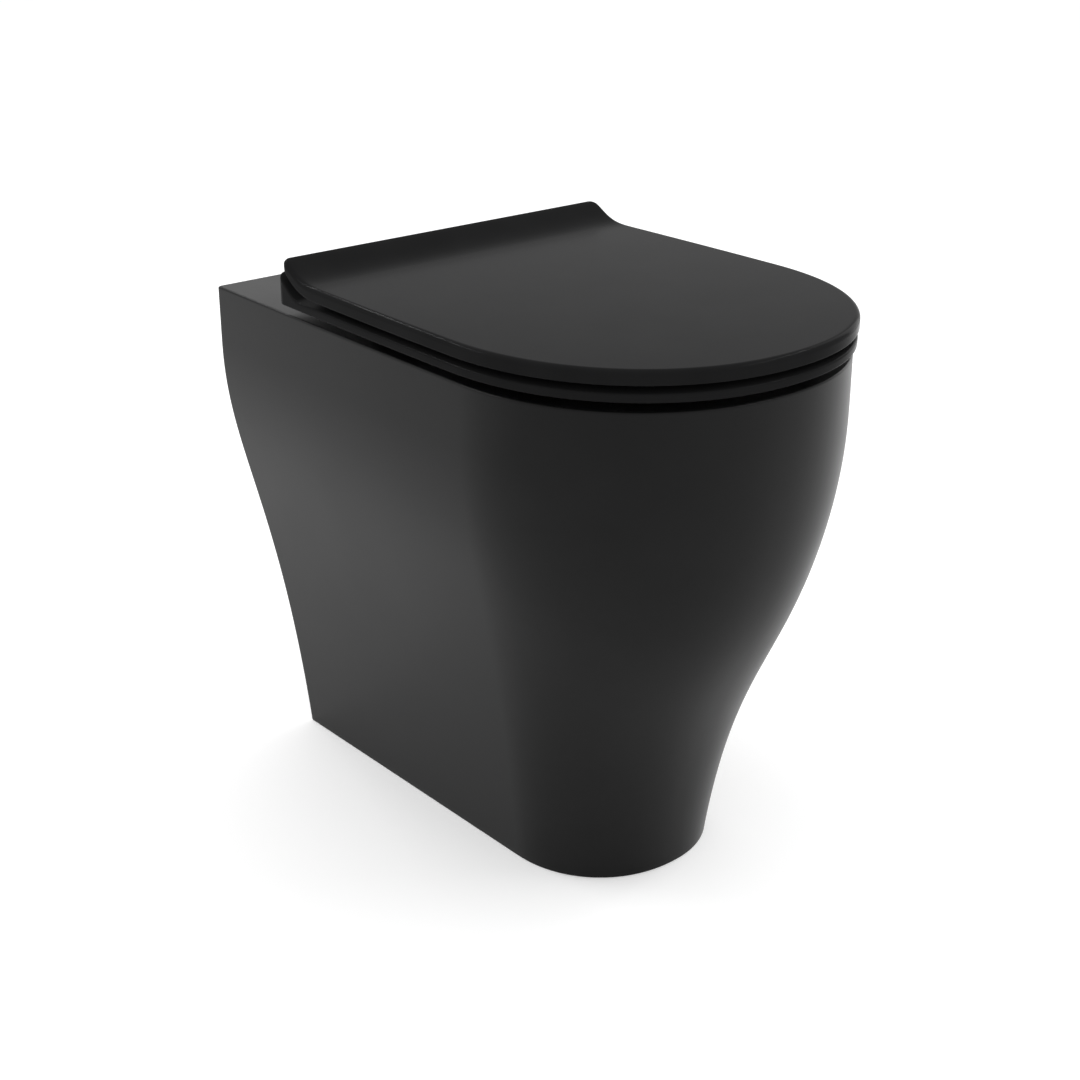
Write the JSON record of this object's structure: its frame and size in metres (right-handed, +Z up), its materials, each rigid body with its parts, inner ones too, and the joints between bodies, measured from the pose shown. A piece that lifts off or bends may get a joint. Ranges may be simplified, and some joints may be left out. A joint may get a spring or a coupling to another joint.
{
  "type": "back-to-wall toilet",
  "caption": "Floor-standing back-to-wall toilet: tapered ceramic pan with hidden trap, horizontal outlet and flush inlet, and a slim D-shaped soft-close seat and lid that lift off.",
  "frame": {"origin": "on the floor, under the middle of the whole object's box in plan", "axes": "+Z up, +Y towards the wall behind the pan, +X to the right of a person who stands in front and faces the wall"},
  "size_m": [0.36, 0.546, 0.5153],
  "materials": {
    "black_glaze": "satin black glaze",
    "black_seat": "satin black thermoset plastic",
    "steel": "stainless steel",
    "rubber": "soft black rubber",
    "hinge_plastic": "matt moulded plastic",
    "brass": "machined brass"
  },
  "bodies": {
    "root": {"ceramic_pan": "black_glaze", "inlet_seal": "rubber", "floor_bracket_left": "steel", "floor_bracket_right": "steel", "bracket_pads": "rubber", "hinge_base_left": "steel", "hinge_base_right": "steel", "base_gaskets": "rubber", "hinge_stud_left": "steel", "hinge_stud_right": "steel", "expansion_sleeve_left": "rubber", "expansion_sleeve_right": "rubber", "sleeve_nuts": "brass"},
    "carriage": {"hinge_pillar_left": "hinge_plastic", "hinge_pillar_right": "hinge_plastic", "grip_ring_left": "rubber", "grip_ring_right": "rubber", "seat_hinge_pin": "steel", "lid_hinge_pin": "steel", "seat_damper_shaft": "steel", "lid_damper_shaft": "steel"},
    "seat": {"seat_ring": "black_seat", "seat_arm_left": "hinge_plastic", "seat_arm_right": "hinge_plastic", "seat_arm_screws": "steel", "seat_bush": "brass", "seat_damper_body": "hinge_plastic", "seat_buffers": "rubber"},
    "lid": {"lid_shell": "black_seat", "lid_arm_left": "hinge_plastic", "lid_arm_right": "hinge_plastic", "lid_arm_screws": "steel", "lid_bush": "brass", "lid_damper_body": "hinge_plastic", "lid_buffers": "rubber"}
  },
  "joints": [
    {"name": "lift_off", "type": "slide", "parent": "root", "child": "carriage", "axis": [0, 0, 1], "range_m": [0, 0.04], "deforming": ["grip_ring_left", "grip_ring_right"]},
    {"name": "seat_hinge", "type": "hinge", "parent": "carriage", "child": "seat", "pos_m": [0, 0.1555, 0.4965], "axis": [-1, 0, 0], "range_deg": [0, 92]},
    {"name": "lid_hinge", "type": "hinge", "parent": "seat", "child": "lid", "pos_m": [0, 0.1555, 0.4965], "axis": [-1, 0, 0], "range_deg": [0, 98]}
  ]
}
